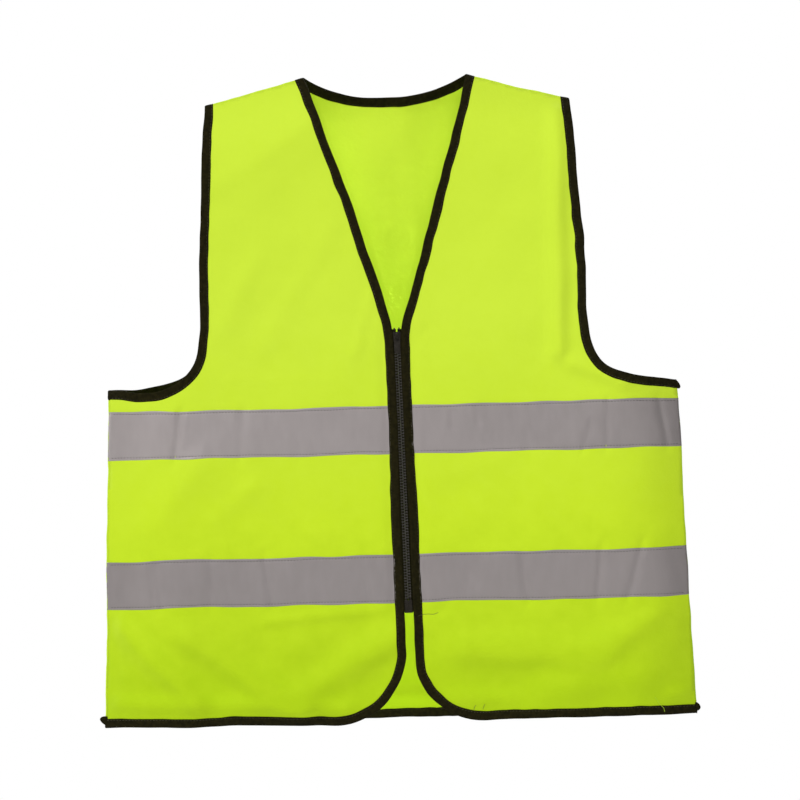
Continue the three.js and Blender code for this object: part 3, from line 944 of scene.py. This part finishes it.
def front_outline(side):
    edge = inset(front_edge(side), side, CUT_INSET)
    armhole = inset(armhole_edge(side, FRONT), -side, CUT_INSET)
    return closed_outline([edge, armhole[::-1]])


def back_outline():
    neck = inset(back_neck_edge(), -1, CUT_INSET)
    hem = inset(back_hem_edge(), 1, CUT_INSET)
    left, right = (inset(armhole_edge(side, BACK), -side, CUT_INSET) for side in (1, -1))
    return closed_outline([neck, left, hem[::-1], right[::-1]])


def make_cloth():
    made = {"back": panel("back_cloth", BACK, back_outline(), CLOTH)}
    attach(made["back"], "root")
    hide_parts("back_panel")
    for name, side in SIDES.items():
        piece = panel(f"{name}_front_cloth", FRONT, front_outline(side), CLOTH)
        settle_front(piece)
        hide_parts(f"{name}_side_panel", f"{name}_front_panel")
        made[name] = piece
    return made


def at_seam(side, drop, short=0):
    """Where a band or its stitches reach the side seam, or stop short of it."""
    return side * (side_seam_x(drop) - short)


def at_front_edge(side, drop, past):
    """Where a front band or its stitches start, past the front edge."""
    return edge_x(side, drop) + side * past


def make_bands():
    made = {"back": [], "right": [], "left": []}
    for height, drops in BANDS.items():
        ends = partial(at_seam, -1), partial(at_seam, 1)
        piece = band(f"back_{height}_tape", BACK, *ends, drops, REFLECTIVE)
        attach(piece, "root")
        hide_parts(f"back_{height}_band")
        made["back"].append(piece)
        for name, side in SIDES.items():
            ends = partial(at_front_edge, side, past=CUT_INSET), partial(at_seam, side)
            piece = band(f"{name}_{height}_tape", FRONT, *ends, drops, REFLECTIVE)
            settle_front(piece)
            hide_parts(f"{name}_side_{height}_band", f"{name}_front_{height}_band")
            made[name].append(piece)
    return made


def make_bindings():
    neck = binding("back_neck_fold", [(BACK, back_neck_edge(), -1)], BINDING, 51)
    hem = binding("back_hem_fold", [(BACK, back_hem_edge(), 1)], BINDING, 57)
    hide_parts("back_neck_binding")
    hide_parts("back_hem_binding")
    made = {"back": [neck, hem], "right": [], "left": []}
    for name, side in SIDES.items():
        runs = [(FRONT, armhole_edge(side, FRONT)[::-1], side), (BACK, armhole_edge(side, BACK), -side)]
        armhole = binding(f"{name}_armhole_fold", runs, BINDING, 61 + side)
        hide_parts(f"{name}_armhole_binding")
        made["back"].append(armhole)
        front = binding(f"{name}_front_fold", [(FRONT, front_edge(side), side)], BINDING, 71 + side)
        settle_front(front)
        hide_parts(f"{name}_front_binding", f"{name}_hem_binding")
        made[name].append(front)
    for piece in made["back"]:
        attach(piece, "root")
    return made


def binding_rows(runs):
    """Stitch rows in the groove of a binding, on its outside and its inside."""
    rows = []
    for face, edge, hand in runs:
        path = inset(edge, hand, BINDING_STITCH)
        rows += [(face, path, 0.78), (face, path, -0.78)]
    return rows


def band_rows(face, start, end):
    """Stitch rows on the bands, along their top and bottom edges."""
    rows = []
    height = CLOTH_THICK / 2 + TAPE_THICK + 0.12
    for top, foot in BANDS.values():
        for drop in (top + BAND_STITCH["inset"], foot - BAND_STITCH["inset"]):
            x = np.linspace(start(drop), end(drop), 240)
            rows.append((face, np.stack([x, np.full_like(x, drop)], axis=1), height))
    return rows


def make_stitches():
    at_ends = {side: partial(at_seam, side, short=BAND_STITCH["stop"]) for side in SIDES.values()}
    back = stitches("back_band_stitches", band_rows(BACK, at_ends[-1], at_ends[1]), BAND_THREAD)
    runs = [(BACK, back_neck_edge(), -1), (BACK, back_hem_edge(), 1)]
    for side in SIDES.values():
        runs += [(face, armhole_edge(side, face), -side) for face in (FRONT, BACK)]
    edges = stitches("back_binding_stitches", binding_rows(runs), DARK_THREAD)
    for piece in (back, edges):
        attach(piece, "root")
    for name, side in SIDES.items():
        start = partial(at_front_edge, side, past=BAND_STITCH["start"])
        sewn = stitches(f"{name}_band_stitches", band_rows(FRONT, start, at_ends[side]), BAND_THREAD)
        rows = binding_rows([(FRONT, front_edge(side), side)])
        bound = stitches(f"{name}_binding_stitches", rows, DARK_THREAD)
        for piece in (sewn, bound):
            settle_front(piece)


def seam_ridge(name, points, material, radius=0.75):
    """The turned edge of a seam, a thin welt along the ridge where front and back meet."""
    lengths = lengths_along(points)
    fat = radius * (1 + 0.12 * waves(lengths, 0 * lengths, 83, 9))
    middle = lift(FRONT, points[:, 0], points[:, 1], 0.1)
    out = unit(lift(FRONT, points[:, 0], points[:, 1], 1.1) - middle)
    around = ring_around(out, np.array([[0.0, 0.7, 0.0]]), 8)
    cloth = ring_coordinates(lengths, np.arange(8) * math.tau / 8)
    made = ring_mesh(name, middle[:, None] + around * (fat * MM)[:, None, None], material, cloth)
    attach(made, "root")


def make_seams():
    for name, side in SIDES.items():
        drops = np.arange(328, FRONT_HEM - BINDING_WIDTH, EDGE_STEP)
        seam_ridge(f"{name}_side_seam", np.stack([side * side_seam_x(drops), drops], axis=1), CLOTH)
        x = side * np.linspace(92, 182, 40)
        seam_ridge(f"{name}_shoulder_seam", np.stack([x, shoulder_drop(x)], axis=1), CLOTH)


def tube(name, line, radius, material):
    """A round thread through points in metres, with radius in metres."""
    ahead = unit(np.gradient(line, axis=0))
    beside = unit(np.cross(ahead, [0.31, 0.92, 0.23]))
    around = ring_around(beside, np.cross(beside, ahead), 6)
    return ring_mesh(name, line[:, None] + around * radius, material)


def loose_thread(name, way, heights, material):
    """A thread end on the left front: a flat way, with its height above the cloth at each point."""
    way = np.column_stack([np.asarray(way, float), heights])
    at = np.linspace(0, len(way) - 1, 6 * len(way))
    x, drop, out = (np.interp(at, range(len(way)), column) for column in way.T)
    settle_front(tube(name, lift(FRONT, x, drop, out), 0.2 * MM, material))


def make_loose_threads():
    loose_thread("thread_at_zip_foot", [(19, 560), (24, 558.5), (30, 558), (36, 558.6), (41, 557)],
                 [1.4, 1.0, 0.7, 0.8, 1.6], DARK_THREAD)
    loose_thread("thread_at_hem", [(262, 650), (265, 653), (267, 657), (271, 661), (272, 665)],
                 [1.2, 0.8, 1.0, 1.8, 1.6], CLOTH_THREAD)
    for number, x in enumerate((74, 84)):
        loose_thread(f"tuft_at_hem_{number}", [(x, 656.5), (x + 1, 653.5), (x + 2.5, 651.5)],
                     [1.3, 1.2, 0.9], DARK_THREAD)


def binding_tip(name, side, drop, past, droop, height):
    """The cut end of a binding, which stands a little past the side seam."""
    rings = []
    for share in (-0.5, 0, 0.35, 0.7, 0.92, 1.0):
        size = 1 if share <= 0 else math.sqrt(1 - share * share) * 0.8 + 0.2 * (1 - share)
        tall = max(size, 0.12)
        ring = rounded_ring(1.7 * max(size, 0.25), height / 2 * tall, 0.9 * tall, 3)
        x = side * (side_seam_x(drop) + past * share)
        rings.append([(x, a, -(drop + droop * max(share, 0) + b)) for a, b in ring])
    rings = np.array(rings) * MM
    along = np.repeat(np.linspace(0, past, len(rings))[:, None], rings.shape[1], axis=1)
    cloth = np.stack([along, rings[..., 2] / MM, np.zeros_like(along)], axis=-1)
    made = ring_mesh(name, rings, BINDING, cloth)
    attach(made, "root")


def make_binding_tips():
    binding_tip("right_hem_tip", -1, 661, 6.2, -1.8, 9.5)
    binding_tip("left_hem_tip", 1, 662, 4.0, 0.8, 9.0)
    binding_tip("right_armhole_tip", -1, 325.3, 1.8, 1.0, 8.6)
    binding_tip("left_armhole_tip", 1, 328.0, 4.0, 2.6, 8.6)


# ---- the zip
def settle_zip_piece(made, body, *nodes, slot="zip_plastic"):
    """A zip piece rides one body and takes the place of one or more CAD nodes."""
    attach(made, body)
    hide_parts(*nodes)


def make_tape(name, side):
    """Woven zip tape, with the cord along its inner edge that carries the teeth."""
    rings = []
    half = ZIP_TAPE["thick"] / 2
    for w in np.arange(ZIP_TAPE["top"], ZIP_TAPE["end"] + 1, 2.0):
        inner = ZIP_TAPE["inner"] + 0.7 * (w < TEETH["first"] - 2)
        spread = 0.05 * math.sin(w * 0.9)
        cord = [(inner + 0.15, -0.55), (inner + 0.6, -0.75), (inner + 1.1, -0.6)]
        weave = [(inner + 1.5, -half), (8, -half), (ZIP_TAPE["outer"], -half)]
        section = [(inner, 0)] + both_sides_of(cord + weave)
        rings.append([(side * u, v + spread, w) for u, v in section])
    made = ZipPart().loft(rings).make(f"{name}_zip_weave", ZIP_WEAVE, order=(2, 0, 1))
    settle_zip_piece(made, f"front_{name}", f"{name}_zip_tape", slot="zip_tape")


# A tooth seen from the front, and the block that clamps it to the tape's cord: the upper half of
# each, as u and w from the tooth's middle line
TOOTH = [(3.0, -0.85), (2.3, -0.8), (1.5, -0.42), (0.75, -0.4), (0.35, -0.62), (-0.35, -0.6),
         (-0.7, -0.3)]
TOOTH_BLOCK = [(2.1, -0.6), (2.3, -0.95), (3.2, -0.95), (3.35, -0.6)]


def make_teeth(name, side):
    part = ZipPart()
    start = TEETH["first"] + (TEETH["pitch"] / 2 if side > 0 else 0)
    half = TEETH["thick"] / 2
    for w in np.arange(start, TEETH["last"] + 1, TEETH["pitch"]):
        tooth, block = ([(side * u, w + d) for u, d in both_sides_of(half_outline)]
                        for half_outline in (TOOTH, TOOTH_BLOCK))
        flat_shape(part, tooth, -half, half, 0.3)
        flat_shape(part, block, -half - 0.12, half + 0.12, 0.35)
    made = part.make(f"{name}_tooth_row", TOOTH_PLASTIC)
    settle_zip_piece(made, f"front_{name}", f"{name}_zip_teeth")


def make_block(node, name, body, fill, radius, ease, lean=0.0):
    """A rounded block as large as its CAD node, but for the share of the width that it fills."""
    low, high = box_mm(node)
    middle, half = (low + high) / 2, (high - low) / 2
    start, end = -high[2] - ZIP["top"], -low[2] - ZIP["top"]
    u = middle[0] - ZIP["x"] - lean * (start + end) / 2
    part = ZipPart()
    bar(part, start, end, half[0] * fill, half[1], radius, u=u, v=middle[1] - ZIP_Y, ease=ease)
    settle_zip_piece(part.make(name, PLASTIC), body, node)


# Half of the outlines of a slider plate and of the wedge between the plates, as u and w
SLIDER_PLATE = [(0, 2.7), (0.7, 2.4), (1.6, 1.7), (2.9, 1.45), (3.8, 1.75), (4.2, 2.7), (4.25, 5),
                (4.1, 8), (3.6, 11.4), (3.0, 12.6), (2.0, 13.0)]
SLIDER_WEDGE = [(0, 2.9), (0.8, 3.1), (1.1, 4.0), (0.5, 6.0)]


def make_slider():
    """Two plates with turned rails, a wedge in two stubs, and the bridge that holds the pull."""
    part = ZipPart()
    near, far = SLIDER["clear"], SLIDER["clear"] + SLIDER["plate"]
    for low, high in ((-far, -near), (near, far)):
        flat_shape(part, mirrored(SLIDER_PLATE), low, high, 0.35)
    for side in SIDES.values():
        for v in (-near + 0.2, near - 0.2):
            bar(part, 3, 12, 0.32, 0.55, 0.25, u=side * SLIDER["rail"], v=v)
    for low, high in ((-near - 0.2, -near + 0.15), (near - 0.15, near + 0.2)):
        flat_shape(part, mirrored(SLIDER_WEDGE), low, high, 0.1)
    arch = []
    section = rounded_ring(BRIDGE["half"], BRIDGE["thick"] / 2, 0.2, 3)
    for turn in np.linspace(0, math.pi, 19):
        w = BRIDGE["middle"] - BRIDGE["reach"] * math.cos(turn)
        v = 0.3 - far - BRIDGE["rise"] * math.sin(turn) ** BRIDGE["power"]
        arch.append([(a, v - b * math.sin(turn), w - b * math.cos(turn)) for a, b in section])
    part.loft(arch)
    for side in SIDES.values():
        bar(part, 4.5, 11.8, 0.28, 0.25, 0.2, u=side * SLIDER["rib"], v=-far - 0.1)
    made = part.make("zip_slider_body", PLASTIC)
    settle_zip_piece(made, "zip_slider", "zip_slider_front", "zip_slider_back")


def make_pull():
    """A crossbar under the slider's bridge, two arms and a ridged grip."""
    part = ZipPart()
    turns = np.arange(12) * math.tau / 12
    rings = []
    for u, size in ((-3.2, 0.6), (-3.0, 0.95), (-2.4, 1), (2.4, 1), (3.0, 0.95), (3.2, 0.6)):
        reach = PULL["pin"] * size
        rings.append([(u, PIVOT_V + reach * math.cos(t), PIVOT_W + reach * math.sin(t)) for t in turns])
    part.loft(rings)
    half, start, end = PULL["thick"] / 2, PULL["grip"], PULL["length"]
    for side in SIDES.values():
        bar(part, PIVOT_W - 0.2, PIVOT_W + start + 1.1, 0.85, half * 0.92, 0.3,
            u=side * PULL["arm"], v=PIVOT_V, ease=0.4)
    grip = []
    for w in np.linspace(start, end, 64):
        ends = min((w - start) / 0.8, (end - w) / 1.2, 1)
        round_off = math.sqrt(max(1 - (1 - ends) ** 2, 0.0))
        half_u = PULL["half"] * (0.8 + 0.2 * round_off) - 0.18 * smooth((w - 7) / 9)
        ridges = hump(w, RIDGES["start"], 0.4, 0.4, RIDGES["end"])
        groove = 1 - math.cos(math.tau * (w - RIDGES["start"]) / RIDGES["pitch"])
        thick = half * (0.55 + 0.45 * round_off) * (1 - RIDGES["depth"] * ridges * groove)
        ring = rounded_ring(half_u, thick, min(0.35, thick * 0.8), 4)
        grip.append([(a, PIVOT_V + b, PIVOT_W + w) for a, b in ring])
    part.loft(grip)
    settle_zip_piece(part.make("zip_pull_grip", PLASTIC), "zip_pull", "zip_pull_tab")


def make_retainer():
    """The box that holds the zip's foot: ribbed on one side, with the pin's socket on the other."""
    part = ZipPart()
    top, end = RETAINER["top"], RETAINER["top"] + RETAINER["length"]
    half_v = RETAINER["thick"] / 2
    bar(part, top, end, RETAINER["half"], half_v - 0.35, 0.7, ease=0.7)
    for w in np.arange(top + 1.6, end - 1.2, RETAINER["rib_pitch"]):
        bar(part, w, w + RETAINER["rib"], 1.55, 0.42, 0.3, u=-1.7, v=-half_v + 0.36, ease=0.3)
    for u in (0.5, 3.55):
        bar(part, top + 0.6, end - 0.5, 0.4, 0.5, 0.3, u=u, v=-half_v + 0.4, ease=0.3)
    bar(part, end - 2.6, end - 0.5, 1.8, 0.45, 0.3, u=2.0, v=-half_v + 0.38, ease=0.35)
    settle_zip_piece(part.make("zip_foot_box", PLASTIC), "front_right", "zip_retainer_box")


def make_zip():
    for name, side in SIDES.items():
        make_tape(name, side)
        make_teeth(name, side)
        make_block(f"{name}_top_stop", f"{name}_end_stop", f"front_{name}", 0.97, 0.35, 0.35)
    make_slider()
    make_pull()
    make_retainer()
    make_block("zip_box_pin", "zip_fixed_pin", "front_right", 0.9, 0.6, 0.5, ZIP["lean"])
    make_block("zip_insertion_pin", "zip_loose_pin", "front_left", 0.9, 0.6, 0.5, ZIP["lean"])


# ---- the studio
# Each light's kind, strength, place, target and size, which for the sun is its angle in radians. The
# key and front lights cast no shadow, and the inner one falls only on the back cloth.
VEST_MIDDLE = (0, 0, -0.33)
LIGHTS = {
    "key": ("SUN", 2.6, (-0.32, -0.5, 0.8), (0, 0, 0), 0.15),
    "front": ("AREA", 6, (0.1, -3.3, 0.1), VEST_MIDDLE, 0.35),
    "fill": ("AREA", 7, (1.7, -1.6, 0.1), VEST_MIDDLE, 0.6),
    "left_fill": ("AREA", 4, (-1.9, -1.3, -0.1), VEST_MIDDLE, 0.6),
    "rear": ("AREA", 36, (0.6, 2.2, 1.5), VEST_MIDDLE, 0.7),
    "rear_side": ("AREA", 17, (-1.9, 1.5, 0.3), VEST_MIDDLE, 0.6),
    "inner": ("AREA", 0.4, (0.05, -3.3, -0.95), (0, 0, -0.1), 0.4),
}
INNER_SPREAD = math.radians(24)
WORLD_STRENGTH = 0.13
FLOOR = {"radius": 6.0, "level": -1.2}


def add_light(name, kind, strength, place, target, size):
    """A disk light at a place in metres, or a sun that shines from there, turned to the target."""
    data = bpy.data.lights.new(name, kind)
    data.energy = strength
    if kind == "SUN":
        data.angle = size
    else:
        data.shape = "DISK"
        data.size = size
    light = bpy.data.objects.new(name, data)
    bpy.context.scene.collection.objects.link(light)
    light.location = place
    light.rotation_euler = (Vector(place) - Vector(target)).to_track_quat("Z", "Y").to_euler()
    return light


def make_lights(back_cloth):
    lights = {name: add_light(name, *facts) for name, facts in LIGHTS.items()}
    lights["key"].data.use_shadow = False
    lights["front"].data.use_shadow = False
    lights["inner"].data.spread = INNER_SPREAD
    receivers = bpy.data.collections.new("inner_receivers")
    receivers.objects.link(back_cloth)
    lights["inner"].light_linking.receiver_collection = receivers


def make_world():
    """White to the camera, and a weak even light to everything else."""
    world = bpy.data.worlds.new("studio")
    bpy.context.scene.world = world
    world.use_nodes = True
    nodes, links = world.node_tree.nodes, world.node_tree.links
    seen, light = nodes["Background"], nodes.new("ShaderNodeBackground")
    seen.inputs["Color"].default_value = (1, 1, 1, 1)
    seen.inputs["Strength"].default_value = 1.0
    light.inputs["Color"].default_value = (1, 1, 1, 1)
    light.inputs["Strength"].default_value = WORLD_STRENGTH
    path, mix = nodes.new("ShaderNodeLightPath"), nodes.new("ShaderNodeMixShader")
    links.new(path.outputs["Is Camera Ray"], mix.inputs["Fac"])
    links.new(light.outputs[0], mix.inputs[1])
    links.new(seen.outputs[0], mix.inputs[2])
    links.new(mix.outputs[0], nodes["World Output"].inputs["Surface"])


def make_floor():
    turns = np.arange(96) * math.tau / 96
    rim = [(FLOOR["radius"] * math.cos(t), FLOOR["radius"] * math.sin(t), FLOOR["level"]) for t in turns]
    floor = make_object("floor", rim, [tuple(range(96))], floor_paper())


make_world()
make_floor()
cloths = make_cloth()
make_lights(cloths["back"])
tapes = make_bands()
folds = make_bindings()
make_stitches()
make_seams()
make_loose_threads()
make_binding_tips()
make_zip()

area_of(back_outline())
for name, side in SIDES.items():
    area_of(front_outline(side))
